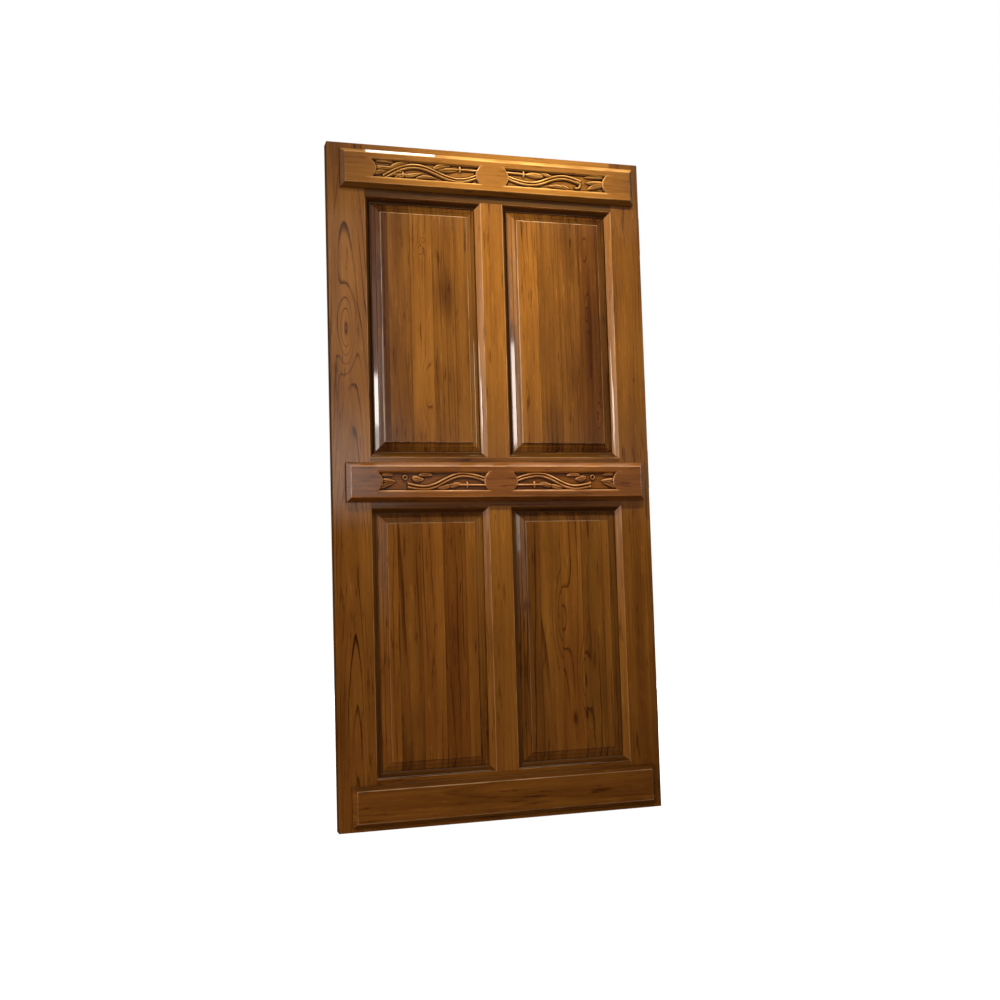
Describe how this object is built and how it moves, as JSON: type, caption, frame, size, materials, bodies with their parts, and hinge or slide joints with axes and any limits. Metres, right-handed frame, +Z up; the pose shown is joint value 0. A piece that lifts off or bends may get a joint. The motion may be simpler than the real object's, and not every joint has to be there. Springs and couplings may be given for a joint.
{
  "type": "carved temple door leaf",
  "caption": "Polished teak panelled door leaf with fielded panels, mitred mouldings and boards of sunk vine carving across its rails, hung on brass butt hinges.",
  "frame": {"origin": "under the middle of the closed leaf with its hinges, at the height of the leaf's lower edge", "axes": "+Z up, +X along the width towards the hinges, -Y out of the carved front"},
  "size_m": [1.0585, 0.0838, 2.134],
  "materials": {
    "frame_teak": "polished, straight to cathedral grain",
    "panel_teak": "polished, glued from upright staves of differing tone",
    "moulding_teak": "polished, high gloss",
    "board_teak": "polished, hand carved",
    "hinge_brass": "satin",
    "screw_brass": "satin"
  },
  "bodies": {
    "frame_side": {"lower_hinge_frame_flap": "hinge_brass", "lower_hinge_pin": "hinge_brass", "middle_hinge_frame_flap": "hinge_brass", "middle_hinge_pin": "hinge_brass", "upper_hinge_frame_flap": "hinge_brass", "upper_hinge_pin": "hinge_brass"},
    "door_leaf": {"board_screws": "screw_brass", "bottom_board": "board_teak", "bottom_rail": "frame_teak", "hinge_screws": "screw_brass", "hinge_stile": "frame_teak", "lock_rail": "frame_teak", "lock_stile": "frame_teak", "lower_hinge_door_flap": "hinge_brass", "lower_left_moulding_head": "moulding_teak", "lower_left_moulding_hinge_side": "moulding_teak", "lower_left_moulding_lock_side": "moulding_teak", "lower_left_moulding_sill": "moulding_teak", "lower_left_panel": "panel_teak", "lower_muntin": "frame_teak", "lower_right_moulding_head": "moulding_teak", "lower_right_moulding_hinge_side": "moulding_teak", "lower_right_moulding_lock_side": "moulding_teak", "lower_right_moulding_sill": "moulding_teak", "lower_right_panel": "panel_teak", "middle_carved_board": "board_teak", "middle_hinge_door_flap": "hinge_brass", "top_carved_board": "board_teak", "top_rail": "frame_teak", "upper_hinge_door_flap": "hinge_brass", "upper_left_moulding_head": "moulding_teak", "upper_left_moulding_hinge_side": "moulding_teak", "upper_left_moulding_lock_side": "moulding_teak", "upper_left_moulding_sill": "moulding_teak", "upper_left_panel": "panel_teak", "upper_muntin": "frame_teak", "upper_right_moulding_head": "moulding_teak", "upper_right_moulding_hinge_side": "moulding_teak", "upper_right_moulding_lock_side": "moulding_teak", "upper_right_moulding_sill": "moulding_teak", "upper_right_panel": "panel_teak"}
  },
  "joints": [
    {"name": "door_swing", "type": "hinge", "parent": "frame_side", "child": "door_leaf", "pos_m": [0.52263, 0.0353, 0], "axis": [0, 0, -1], "range_deg": [0, 110]}
  ]
}
